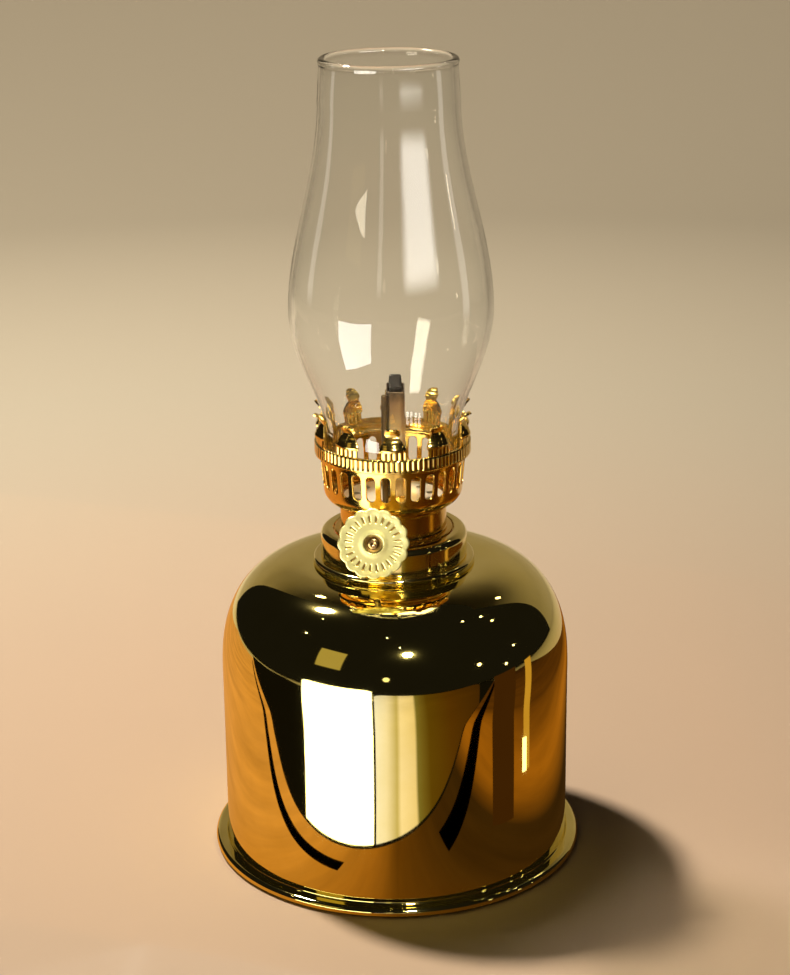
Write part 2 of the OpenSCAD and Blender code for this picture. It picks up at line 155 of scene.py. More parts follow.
def between(points, x):
    """Height of a smooth curve through (x, y) points at x."""
    for (x0, y0), (x1, y1) in zip(points, points[1:]):
        if x <= x1:
            return y0 + (y1 - y0) * ease((x - x0) / (x1 - x0))
    return points[-1][1]


def ripple(x, y, z, scale):
    """Smooth noise from -1 to 1, the same in each run."""
    return noise.noise(Vector((x, y, z)) * scale)


def placed(name, data):
    """A new object in the scene."""
    obj = bpy.data.objects.new(name, data)
    bpy.context.scene.collection.objects.link(obj)
    return obj


def piece(name, body, verts, faces, material, stands_for, slot, place=None, bevel=0, thick=0):
    """A smooth-shaded mesh piece from points in millimetres, riding on a body."""
    mesh = bpy.data.meshes.new(name)
    mesh.from_pydata([Vector(v) * MM for v in verts], [], faces)
    if place:
        mesh.transform(place)
    mesh.materials.append(material)
    work = bmesh.new()
    work.from_mesh(mesh)
    bmesh.ops.remove_doubles(work, verts=work.verts, dist=1e-7)
    bmesh.ops.recalc_face_normals(work, faces=work.faces)
    for f in work.faces:
        f.smooth = True
    work.to_mesh(mesh)
    work.free()
    obj = placed(name, mesh)
    if thick:
        wall = obj.modifiers.new("sheet", "SOLIDIFY")
        wall.thickness, wall.offset, wall.use_even_offset = thick * MM, -1, True
    if bevel:
        edge = obj.modifiers.new("edges", "BEVEL")
        edge.width, edge.segments, edge.limit_method = bevel * MM, 2, "ANGLE"
        edge.angle_limit = math.radians(50)
    obj.modifiers.new("normals", "WEIGHTED_NORMAL").keep_sharp = True
    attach(obj, body)
    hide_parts(stands_for)
    return obj


def turned(outline, steps=192, shape=None):
    """Points and faces of a closed (radius, height) outline turned about Z; shape(r, z, angle) bends it."""
    verts, rows = [], []
    for r, z in outline:
        if r < 1e-6:
            rows.append([len(verts)] * steps)
            verts.append((0, 0, z))
            continue
        rows.append(list(range(len(verts), len(verts) + steps)))
        for k in range(steps):
            a = 2 * math.pi * k / steps
            rr, zz = shape(r, z, a) if shape else (r, z)
            verts.append((rr * math.cos(a), rr * math.sin(a), zz))
    faces = []
    for i, low in enumerate(rows):
        high = rows[(i + 1) % len(rows)]
        for k in range(steps):
            n = (k + 1) % steps
            quad = list(dict.fromkeys((low[k], low[n], high[n], high[k])))
            if len(quad) > 2:
                faces.append(quad)
    return verts, faces


def grid_faces(rows, cols, closed_rows=False, closed_cols=False, start=0):
    """Quads between the neighbours of a grid of points, which may close on itself either way."""
    faces = []
    for i in range(rows if closed_rows else rows - 1):
        low, high = start + i * cols, start + (i + 1) % rows * cols
        for k in range(cols if closed_cols else cols - 1):
            n = (k + 1) % cols
            faces.append((low + k, low + n, high + n, high + k))
    return faces


def slab(front, back):
    """A closed sheet between two grids of points, given as rows."""
    rows, cols = len(front), len(front[0])
    verts = [p for row in front for p in row] + [p for row in back for p in row]
    off = rows * cols
    faces = []
    for quad in grid_faces(rows, cols):
        faces += [quad, tuple(off + v for v in reversed(quad))]
    last = off - cols
    rim = (list(range(cols)) + list(range(2 * cols - 1, off, cols))
           + list(range(off - 2, last - 1, -1)) + list(range(last - cols, 0, -cols)))
    for a, b in zip(rim, rim[1:] + rim[:1]):
        faces.append((b, a, off + a, off + b))
    return verts, faces


def swept(centre_x, half_x, half_y, corner, outline, steps, shape=None):
    """Points and faces of a closed outline of (offset, height) swept round an upright rounded rectangle."""
    verts, size = [], 4 * (steps + 1)
    for off, z in outline:
        loop = []
        for i, (sx, sy) in enumerate(((1, 1), (-1, 1), (-1, -1), (1, -1))):
            loop += arc(sx * (half_x - corner), sy * (half_y - corner), max(corner + off, 0.01),
                        90 * i, 90 * i + 90, steps)
        for k, (x, y) in enumerate(loop):
            point = (centre_x + x, y, z)
            verts.append(shape(point, k / size, off) if shape else point)
    return verts, grid_faces(len(outline), size, True, True)


def joined(*parts):
    """Several parts' points and faces as one."""
    verts, faces = [], []
    for v, f in parts:
        faces += [tuple(len(verts) + i for i in face) for face in f]
        verts += v
    return verts, faces


# ---- materials

class Shader:
    """A node material: its sockets are set by name when it is made, and the calls add patterns to it."""

    # Length that a radian counts for in the noise of turned lines, in metres.
    RADIAN = 0.0002

    def __init__(self, name, **sockets):
        self.material = bpy.data.materials.new(name)
        self.material.use_nodes = True
        self.tree = self.material.node_tree
        self.shader = self.tree.nodes["Principled BSDF"]
        for key, value in sockets.items():
            self.shader.inputs[key.replace("_", " ")].default_value = value
        self.coords = self.tree.nodes.new("ShaderNodeTexCoord").outputs["Object"]

    def node(self, kind, **values):
        made = self.tree.nodes.new("ShaderNode" + kind)
        for key, value in values.items():
            if hasattr(made, key):
                setattr(made, key, value)
            else:
                made.inputs[key.replace("_", " ")].default_value = value
        return made

    def link(self, source, target):
        self.tree.links.new(source, target)

    def put(self, value, socket):
        """Sets a socket to a number or a colour, or links another node's output to it."""
        if isinstance(value, tuple):
            socket.default_value = (*value, 1)
        elif isinstance(value, (int, float)):
            socket.default_value = value
        else:
            self.link(value, socket)

    def noise(self, scale, detail=3, roughness=0.5, vector=None, distortion=0):
        made = self.node("TexNoise", Scale=scale, Detail=detail, Roughness=roughness, Distortion=distortion)
        self.link(vector or self.coords, made.inputs["Vector"])
        return made.outputs["Fac"]

    def stretched(self, x, y, z):
        made = self.node("Mapping")
        made.inputs["Scale"].default_value = (x, y, z)
        self.link(self.coords, made.inputs["Vector"])
        return made.outputs["Vector"]

    def math(self, operation, *values):
        made = self.node("Math", operation=operation)
        for value, socket in zip(values, made.inputs):
            self.put(value, socket)
        return made.outputs[0]

    def axes(self):
        split = self.node("SeparateXYZ")
        self.link(self.coords, split.inputs[0])
        return split.outputs

    def radius(self):
        """Distance from the lamp's axis."""
        x, y, _ = self.axes()
        return self.math("SQRT", self.math("ADD", self.math("MULTIPLY", x, x), self.math("MULTIPLY", y, y)))

    def around(self):
        """Coordinates of lines turned about Z: radius and height vary fast, the angle slowly."""
        x, y, z = self.axes()
        angle = self.math("MULTIPLY", self.math("ABSOLUTE", self.math("ARCTAN2", y, x)), self.RADIAN)
        merge = self.node("CombineXYZ")
        for source, target in zip((self.radius(), angle, z), merge.inputs):
            self.link(source, target)
        return merge.outputs[0]

    def between(self, value, low, high, curve="SMOOTHSTEP"):
        """0 where the value is low, 1 where it is high."""
        made = self.node("MapRange", interpolation_type=curve)
        made.inputs["From Min"].default_value, made.inputs["From Max"].default_value = low, high
        self.link(value, made.inputs["Value"])
        return made.outputs["Result"]

    def height(self, low, high):
        """0 below the height low and 1 above high, in millimetres."""
        return self.between(self.axes()[2], low * MM, high * MM)

    def ramp(self, source, *stops):
        made = self.node("ValToRGB")
        band = made.color_ramp.elements
        band.remove(band[1])
        for i, (place, colour) in enumerate(stops):
            element = band[0] if i == 0 else band.new(place)
            element.position = place
            element.color = (*colour, 1) if isinstance(colour, tuple) else (colour, colour, colour, 1)
        self.link(source, made.inputs[0])
        return made.outputs[0]

    def mix(self, factor, a, b, blend="MIX"):
        made = self.node("Mix", data_type="RGBA", blend_type=blend)
        for value, socket in ((factor, made.inputs[0]), (a, made.inputs[6]), (b, made.inputs[7])):
            self.put(value, socket)
        return made.outputs[2]

    def colour(self, source):
        self.link(source, self.shader.inputs["Base Color"])
        return self

    def rough(self, source, low, high):
        made = self.node("MapRange")
        made.inputs["To Min"].default_value, made.inputs["To Max"].default_value = low, high
        self.link(source, made.inputs["Value"])
        self.link(made.outputs["Result"], self.shader.inputs["Roughness"])
        return self

    def bump(self, source, distance, strength=1.0):
        """Adds a bump of that height in millimetres on top of those already there."""
        made = self.node("Bump", Strength=strength)
        made.inputs["Distance"].default_value = distance * MM
        self.link(source, made.inputs["Height"])
        if self.shader.inputs["Normal"].is_linked:
            self.link(self.shader.inputs["Normal"].links[0].from_socket, made.inputs["Normal"])
        self.link(made.outputs[0], self.shader.inputs["Normal"])
        return self


def metal(name, deep, bright, low, high, spin=0.0, dent=0.0, dent_scale=60, tarnish=None):
    """Metal with smudged roughness, colour that wanders between two tones, turning lines and slight dents."""
    s = Shader(name, Metallic=1.0)
    tone = s.ramp(s.noise(90, 4, 0.6), (0.3, deep), (0.7, bright))
    if tarnish:
        spots = s.ramp(s.noise(420, 5, 0.65, distortion=0.4), (0.55, 0.0), (0.78, 1.0))
        tone = s.mix(s.math("MULTIPLY", spots, 0.55), tone, tarnish)
    s.colour(tone)
    s.rough(s.noise(140, 5, 0.6, distortion=0.6), low, high)
    if spin:
        s.bump(s.noise(9000, 2, 0.5, s.around()), spin)
    if dent:
        s.bump(s.noise(dent_scale, 1, 0.4), dent)
    return s.material


def tinned_brass():
    s = Shader("tinned_brass", Metallic=1.0)
    tin = s.ramp(s.noise(160, 4, 0.6), (0.3, (0.22, 0.18, 0.11)), (0.7, (0.5, 0.44, 0.32)))
    heat = s.mix(s.height(97, 106), tin, (0.2, 0.13, 0.07))
    edge = s.math("MULTIPLY", s.height(105.5, 108.8), s.ramp(s.noise(600, 4), (0.3, 0.55), (0.7, 1.0)))
    s.colour(s.mix(edge, heat, (0.02, 0.018, 0.015)))
    s.rough(s.math("MAXIMUM", edge, s.noise(300, 4)), 0.16, 0.62)
    s.bump(s.noise(500, 3, 0.6, s.stretched(1, 1, 0.06)), 0.03)
    return s.material


def woven_cotton():
    s = Shader("woven_cotton", Roughness=0.85, Sheen_Weight=0.35)
    yarn = s.noise(1400, 4, 0.7, s.stretched(1, 1, 0.25))
    clean = s.ramp(yarn, (0.3, (0.62, 0.55, 0.42)), (0.7, (0.86, 0.81, 0.68)))
    s.colour(s.mix(s.height(96, 107.8), clean, (0.2, 0.13, 0.07)))
    s.bump(yarn, 0.12)
    return s.material


def char():
    s = Shader("charred_cotton", Specular_IOR_Level=0.05)
    flakes = s.noise(1500, 5, 0.7, distortion=0.5)
    s.colour(s.ramp(flakes, (0.35, (0.0008, 0.0008, 0.0008)), (0.75, (0.007, 0.006, 0.005))))
    s.rough(flakes, 0.6, 0.95)
    s.bump(flakes, 0.22)
    return s.material


def fibre():
    s = Shader("vulcan_fibre", Roughness=0.7)
    s.colour(s.ramp(s.noise(900, 5, 0.7), (0.3, (0.16, 0.06, 0.03)), (0.7, (0.33, 0.14, 0.07))))
    s.bump(s.noise(2500, 3), 0.05)
    return s.material


def clear_glass():
    """Blown glass that lets lamps through, with faint draw lines and a slight green in its thickness."""
    s = Shader("clear_glass", Roughness=0.0, IOR=1.47, Transmission_Weight=1.0)
    s.colour(s.ramp(s.noise(30, 2), (0.3, (0.975, 0.985, 0.975)), (0.7, (0.995, 0.995, 0.99))))
    s.bump(s.noise(420, 2, 0.5, s.stretched(1, 1, 0.035)), 0.012)
    s.bump(s.noise(45, 1), 0.15)
    shade = s.node("BsdfTransparent", Color=(0.93, 0.93, 0.91, 1))
    both = s.node("MixShader")
    s.link(s.node("LightPath").outputs["Is Shadow Ray"], both.inputs[0])
    s.link(s.shader.outputs[0], both.inputs[1])
    s.link(shade.outputs[0], both.inputs[2])
    s.link(both.outputs[0], s.tree.nodes["Material Output"].inputs["Surface"])
    return s.material


GOLD = metal("mirror_gold", (0.89, 0.75, 0.23), (0.95, 0.82, 0.3), 0.02, 0.06, dent=0.05, dent_scale=38)
COLLAR_GOLD = metal("turned_gold", (0.88, 0.7, 0.23), (0.95, 0.8, 0.31), 0.04, 0.11, spin=0.004)
BRASS = metal("lacquered_brass", (0.8, 0.49, 0.09), (0.94, 0.65, 0.16), 0.08, 0.2, spin=0.008,
              dent=0.03, dent_scale=120, tarnish=(0.4, 0.19, 0.04))
STAMPED = metal("stamped_brass", (0.84, 0.55, 0.11), (0.98, 0.72, 0.22), 0.08, 0.22,
                dent=0.04, dent_scale=160, tarnish=(0.5, 0.24, 0.06))
KNOB_BRASS = metal("pressed_brass", (1.0, 0.88, 0.34), (1.0, 0.95, 0.44), 0.3, 0.44,
                   dent=0.03, dent_scale=300)
# Painted shade: darker brass laid on the thumb wheel's cut ticks and in the recess round the rivet, where
# shade falls.
PAINTED_SHADE_BRASS = metal("painted_shade_in_marks", (0.2, 0.12, 0.03), (0.42, 0.27, 0.08), 0.35, 0.6,
               dent=0.03, dent_scale=500)
DARK_BRASS = metal("dark_brass", (0.34, 0.2, 0.07), (0.62, 0.42, 0.17), 0.15, 0.35,
                   dent=0.06, dent_scale=900)
PLAIN_BRASS = metal("plain_brass", (0.6, 0.38, 0.13), (0.8, 0.56, 0.24), 0.2, 0.4, spin=0.01,
                    tarnish=(0.25, 0.14, 0.05))
STEEL = metal("bright_steel", (0.5, 0.49, 0.47), (0.68, 0.67, 0.65), 0.18, 0.36, spin=0.01,
              tarnish=(0.3, 0.24, 0.2))
BRIGHT_TIN = metal("bright_tin", (0.82, 0.77, 0.66), (0.95, 0.91, 0.82), 0.28, 0.45,
                   dent=0.03, dent_scale=200)
SOOTY = metal("sooty_brass", (0.04, 0.03, 0.018), (0.13, 0.09, 0.045), 0.3, 0.55,
              dent=0.03, dent_scale=400)
TINNED = tinned_brass()
COTTON = woven_cotton()
CHAR = char()
FIBRE = fibre()
GLASS = clear_glass()


# ---- tank, foot and collar

def shoulder(inside, steps=72):
    """The round shoulder from the wall to the flat top, moved in by a thickness."""
    flat_margin = 0.4
    across = TANK_R - COLLAR_FLANGE_R - flat_margin
    up = TANK_TOP - SHOULDER_Z - inside
    points = []
    for i in range(steps + 1):
        k = math.pi / 2 * i / steps
        x = abs(math.cos(k)) ** SHOULDER_POWER if i < steps else 0
        points.append((TANK_R - inside - across * (1 - x), SHOULDER_Z + up * math.sin(k) ** SHOULDER_POWER))
    return points


def build_tank():
    thick, seam_z, seam_r, hem = 0.8, 1.05, FOOT_R - 0.9, 0.6
    wall = [(TANK_R, seam_z + hem + (SHOULDER_Z - seam_z - hem) * i / 40) for i in range(41)]
    outline = ([(TANK_R - thick, seam_z), (seam_r, seam_z), (seam_r, seam_z + hem)] + wall
               + shoulder(0)[1:] + [(NECK_HOLE_R, TANK_TOP), (NECK_HOLE_R, TANK_TOP - thick)]
               + shoulder(thick)[::-1])

    def drawn(r, z, a):
        wave = 0.05 * ripple(math.cos(a) * 2, math.sin(a) * 2, z * 0.05, 1) * ease((z - 6) / 10)
        return (r + wave if r > NECK_HOLE_R + 8 else r), z

    piece("tank", "tank", *turned(outline, 288, drawn), GOLD, "tank_shell", "gold_plate")


def build_foot():
    """Bottom pan with its rim rolled up over the tank's edge: a round bead with an open crease inside it."""
    bead_in, seam = TANK_R + 0.15, 1.7
    outline = ([(0, 0.6), (20, 0.6), (bead_in - 1.6, 0.6), (bead_in - 0.7, 0.55)]
               + arc(bead_in + 0.9, 0.9, 0.9, 215, 270, 6)
               + arc(FOOT_R - 1.1, 1.1, 1.1, 270, 450, 18)
               + arc(bead_in + 0.35, FOOT_H - 0.35, 0.35, 90, 180, 5)
               + [(bead_in, seam), (FOOT_R - 0.85, seam), (FOOT_R - 0.85, 1.0), (0, 1.0)])

    def hammered(r, z, a):
        if r < bead_in:
            return r, z
        wave = ripple(math.cos(a) * 5, math.sin(a) * 5, 3.1, 1)
        return r - 0.06 * abs(wave), z - (0.05 * abs(wave) if z > 1.3 else 0)

    piece("foot", "tank", *turned(outline, 288, hammered), GOLD, "base_pan", "gold_plate")


def build_collar():
    r, bore, recess_r, groove = 16.5, 12.05, 13.6, TANK_TOP + 1.7
    outline = rounded([
        (bore, COLLAR_LOW, 0.2), (NECK_HOLE_R, COLLAR_LOW, 0.2), (NECK_HOLE_R, TANK_TOP, 0),
        (COLLAR_FLANGE_R, TANK_TOP, 0), (COLLAR_FLANGE_R, groove, 0.75), (r - 0.25, groove, 0.12),
        (r - 0.25, groove + 0.3, 0.1), (r, groove + 0.45, 0.12), (r, COLLAR_TOP, 1.7),
        (recess_r, COLLAR_TOP, 0.3), (recess_r, GASKET_Z, 0.1), (bore, GASKET_Z, 0.1)], 8)
    piece("collar", "tank", *turned(outline, 224), COLLAR_GOLD, "neck_collar", "gold_plate")
    outer, (low, high) = radius("collar_backing_ring"), levels("collar_backing_ring")
    outline = rounded([(NECK_HOLE_R, low, 0.15), (outer, low, 0.3), (outer, high, 0.1),
                       (NECK_HOLE_R, high, 0.1)])
    piece("backing_ring", "tank", *turned(outline), PLAIN_BRASS, "collar_backing_ring", "plain_brass")


# ---- burner

def build_gasket():
    bore = 12.2
    outline = rounded([(bore, GASKET_Z, 0.1), (FLANGE_R, GASKET_Z, 0.15), (FLANGE_R, FLANGE_Z, 0.15),
                       (bore, FLANGE_Z, 0.1)])
    piece("gasket", "gasket", *turned(outline), FIBRE, "burner_gasket", "fibre")


def build_thread():
    """Threaded skirt: a rolled helical thread that fades out at both ends, under a flange."""
    skirt_r, bore, crest, pitch = 11.4, 10.9, 11.9, 2.0
    low, high = SKIRT_LOW + 0.4, FLANGE_Z - 0.5
    rows = [low + (high - low) * i / 80 for i in range(81)]
    outline = ([(bore, SKIRT_LOW), (skirt_r, SKIRT_LOW)] + [(skirt_r, z) for z in rows]
               + rounded([(skirt_r, FLANGE_Z, 0.1), (FLANGE_R, FLANGE_Z, 0.15), (FLANGE_R, DRUM_Z, 0.3),
                          (DRUM_R - 0.1, DRUM_Z, 0)])[:-1] + [(DRUM_R - 0.1, DRUM_Z), (bore, DRUM_Z)])

    def helix(r, z, a):
        if abs(r - skirt_r) > 1e-6 or not low <= z <= high:
            return r, z
        fade = ease((z - low) / 0.8) * ease((high - z) / 0.8)
        turn = z / pitch - a / (2 * math.pi)
        return r + (crest - skirt_r) * fade * (0.5 - 0.5 * math.cos(2 * math.pi * turn)) ** 0.8, z

    piece("threaded_skirt", "burner", *turned(outline, 192, helix), BRASS, "threaded_base", "lacquered_brass")


def build_drum():
    inner, foot_r, waist_r = DRUM_R - SHEET, DRUM_R - 0.1, DRUM_R - 0.25
    outline = rounded([(inner, DRUM_Z, 0.1), (foot_r, DRUM_Z, 0), (foot_r, DRUM_Z + 0.35, 0.1),
                       (waist_r, DRUM_Z + 0.6, 0.15), (waist_r, DRUM_TOP - 1.0, 0.2),
                       (DRUM_R, DRUM_TOP - 0.7, 0.2), (DRUM_R, DRUM_TOP, 0.15), (inner, DRUM_TOP, 0.1)])
    piece("drum", "burner", *turned(outline, 160), BRASS, "burner_drum", "lacquered_brass")


def build_seat():
    bore, outer, (low, high) = 12.6, radius("chimney_seat"), levels("chimney_seat")
    outline = rounded([(bore, low, 0.1), (outer, low, 0), (outer, high, 0.1), (bore, high, 0.25)])
    piece("seat_ring", "burner", *turned(outline), BRASS, "chimney_seat", "lacquered_brass")


def slot_outline(steps=12):
    half, r = (SLOT_H - SLOT_W) / 2, SLOT_W / 2
    side = [-half + 2 * half * i / 4 for i in range(1, 4)]
    return ([(u, v + half, a) for (u, v), a in zip(arc(0, 0, r, 0, 180, steps), range(steps + 1))]
            + [(-r, -v, "side") for v in side]
            + [(u, v - half, -a) for (u, v), a in zip(arc(0, 0, r, 180, 360, steps), range(steps + 1))]
            + [(r, v, "side") for v in side])


def build_basket():
    """Pressed basket: one sector with its slot is meshed round the slot's outline, then repeated."""
    waist_r, waist_z, top_r, foot_r = 15.1, BASKET_Z + 2.9, 15.8, DRUM_R + 0.2
    top_z = LIP_TOP - 0.5
    slot_z = top_z - 1.1 - SLOT_H / 2
    half = (SLOT_H - SLOT_W) / 2
    middle_r = 15.45
    pitch_u = math.pi * middle_r / SLOTS
    rim_v = SLOT_H / 2 + 0.45
    reach = rim_v - half
    corner_snap = math.radians(7.6)

    def flare(z):
        return waist_r + (top_r - waist_r) * (z - waist_z) / (top_z - waist_z), z

    def frame_point(u, v, tag):
        """Where the line from a slot outline's arc centre through a point meets the sector's frame."""
        if tag == "side":
            return math.copysign(pitch_u, u), v
        centre = half if v > 0 else -half
        du, dv = u, v - centre
        corner = math.atan2(reach, pitch_u)
        a = math.atan2(abs(dv), abs(du))
        if abs(a - corner) < corner_snap:
            return math.copysign(pitch_u, du), math.copysign(rim_v, v)
        if a < corner:
            return math.copysign(pitch_u, du), centre + math.copysign(pitch_u * math.tan(a), v)
        return math.copysign(reach / math.tan(a), du) if abs(du) > 1e-9 else 0.0, math.copysign(rim_v, v)

    points = slot_outline()
    edge = [frame_point(*p) for p in points]
    rings = [[(p[0] + (e[0] - p[0]) * t, p[1] + (e[1] - p[1]) * t) for p, e in zip(points, edge)]
             for t in (0, 0.2, 1)]
    top_u = sorted({round(u, 6) for u, v in edge if v > rim_v - 1e-6})
    dome = [(foot_r + (waist_r - foot_r) * math.sin(k), waist_z - (waist_z - BASKET_Z) * math.cos(k))
            for k in [math.pi / 2 * i / 12 for i in range(13)]]
    low_rows = [(foot_r - 1, BASKET_Z), (foot_r - 0.5, BASKET_Z)] + dome[:-1] + [flare(slot_z - rim_v)]
    bend = 0.25
    lip = arc(top_r + bend, top_z - bend, bend, 180, 90, 4)
    high_rows = ([flare(slot_z + rim_v), flare(top_z - 0.35)] + lip
                 + [(LIP_R - 0.3, top_z), (LIP_R, top_z)])
    verts, faces = [], []

    def add(grid, closed):
        start = len(verts)
        for row in grid:
            for u, (r, z) in row:
                a = 2 * math.pi * sector / SLOTS + u / pitch_u * math.pi / SLOTS
                verts.append((r * math.cos(a), r * math.sin(a), z))
        faces.extend(grid_faces(len(grid), len(grid[0]), False, closed, start))

    for sector in range(SLOTS):
        add([[(u, flare(slot_z + v)) for u, v in ring] for ring in rings], True)
        for rows in (low_rows, high_rows):
            add([[(u, rz) for u in top_u] for rz in rows], False)
    piece("basket", "burner", verts, faces, BRASS, "gallery_basket", "lacquered_brass", None, 0.1, SHEET)


def rib(angle):
    """Depth of the flutes round the band at an angle, from 0 on a rib to 1 in a groove."""
    return max(0.0, math.cos(angle * RIBS)) ** 2.2


def band_parts():
    """The ribbed band under the prongs."""
    inner, rib_r, low, top = LIP_R, BAND_R - 0.02, BAND_Z, BAND_Z + BAND_H
    outline = ([(inner, low), (BAND_R - 0.15, low), (BAND_R, low + 0.15), (BAND_R, low + 0.45),
                (rib_r, low + 0.6)] + [(rib_r, low + 0.75 + 0.4 * i) for i in range(6)]
               + [(BAND_R - 0.1, top - 0.1), (BAND_R - 0.25, top), (inner, top)])

    def fluted(r, z, a):
        deep = ease((z - low - 0.45) / 0.25)
        return (r - RIB_DEPTH * rib(a) * deep if r > BAND_R - 0.2 else r), z

    return turned(outline, RIBS * 8, fluted)


def prong_parts(turn):
    """One prong: ribbed stem, onion leaf whose lower edge stands proud, waist, and a tip that turns out."""
    base = BAND_Z + BAND_H
    leaf_low, sheet = 1.55, 0.45
    section = [(leaf_low, 17.75), (2.2, 17.9), (3.2, 17.55), (4.1, 16.9), (4.95, 16.3), (5.5, 16.45),
               (6.2, 17.2), (7.0, 18.35)]
    width = [(-0.6, 2.7), (leaf_low, 2.72), (1.8, 3.02), (2.3, 3.0), (3.1, 2.72), (3.9, 2.2), (4.9, 1.5),
             (5.25, 1.55), (5.55, 1.9), (6.1, 1.8), (6.5, 1.4), (6.85, 0.75), (7.0, 0.12)]
    heights = ([-0.6 + 0.28 * i for i in range(8)] + [1.48 + 0.08 * i for i in range(10)]
               + [2.35 + 0.25 * i for i in range(10)] + [4.8 + 0.12 * i for i in range(16)]
               + [6.68, 6.76, 6.84, 6.92, 7.0])
    cols = 24
    grid, skin = [], []
    for h in heights:
        row = []
        for j in range(cols + 1):
            s = 2 * j / cols - 1
            half = between(width, h)
            a = s * half / BAND_R
            leaf = ease((h - (leaf_low + 0.4 * s * s)) / 0.2)
            stem = BAND_R - 0.32 - RIB_DEPTH * rib(a) * ease((leaf_low + 0.3 - h) / 0.3)
            cup = 0.75 * s * s * ease((h - leaf_low) / 0.5) * ease((5.0 - h) / 2.4)
            fold = 0.3 * s * s * ease((h - 5.1) / 0.8)
            r = stem + (between(section, max(h, leaf_low)) - cup - fold - stem) * leaf
            row.append((r, a, base + h))
        grid.append(row)
    for i, row in enumerate(grid):
        low, high = grid[max(i - 1, 0)], grid[min(i + 1, len(grid) - 1)]
        inner = []
        for j, (r, a, z) in enumerate(row):
            rise = Vector((high[j][0] - low[j][0], high[j][2] - low[j][2])).normalized()
            inner.append((r - sheet * rise.y, a, z + sheet * rise.x))
        skin.append(inner)
    return slab(*[[[(r * math.cos(a + turn), r * math.sin(a + turn), z) for r, a, z in row] for row in rows]
                  for rows in (grid, skin)])


def build_crown():
    parts = [band_parts()] + [prong_parts(math.radians(i * 360 / PRONGS - 90)) for i in range(PRONGS)]
    piece("crown", "burner", *joined(*parts), STAMPED, "prong_crown", "lacquered_brass", bevel=0.09)


def build_tubes():
    """Wick tube with a rolled mouth, its ferrule, and the small vent beside it."""
    low_end, high_end = span("wick_tube")
    (x, half_x), half_y, corner = middle(low_end, high_end), high_end[1], 1.2
    wall, low, mouth = 0.35, low_end[2], high_end[2] - 0.15
    sides = [low + (mouth - low) * i / 30 for i in range(31)]
    outline = ([(-wall, low)] + [(0, z) for z in sides]
               + arc(-wall / 2, mouth, wall / 2, 0, 180, 6)[1:-1] + [(-wall, mouth)])

    def pressed(point, k, off):
        px, py, pz = point
        dent = 0.05 * ripple(px * 0.5, py * 0.5, pz * 0.22, 1)
        return px + dent, py + dent, pz

    piece("wick_tube_drawn", "burner", *swept(x, half_x, half_y, corner, outline, 10, pressed), TINNED,
          "wick_tube", "tinned_brass")
    (low, high), gap, edge = levels("tube_ferrule"), 0.02, 0.6
    outline = rounded([(gap, low, 0), (edge, low, 0.1), (edge, high, 0.3), (gap, high, 0.1)])
    piece("ferrule", "burner", *swept(x, half_x, half_y, corner, outline, 10), BRASS, "tube_ferrule",
          "lacquered_brass")
    (x_low, y_low, low), (x_high, y_high, high) = span("vent_tube")
    r, bore = (x_high - x_low) / 2, 0.45
    outline = rounded([(bore, low, 0.05), (r, low, 0.1), (r, high, 0.12), (bore, high, 0.1)])
    place = Matrix.Translation(Vector(((x_high + x_low) / 2, (y_high + y_low) / 2, 0)) * MM)
    piece("vent", "burner", *turned(outline, 48), SOOTY, "vent_tube", "tinned_brass", place)


# ---- winder

def off_tick(angle):
    """0 in the middle of a tick of the thumb wheel's ring, 0.5 halfway between two."""
    return abs((angle * TICKS / (2 * math.pi)) % 1 - 0.5)


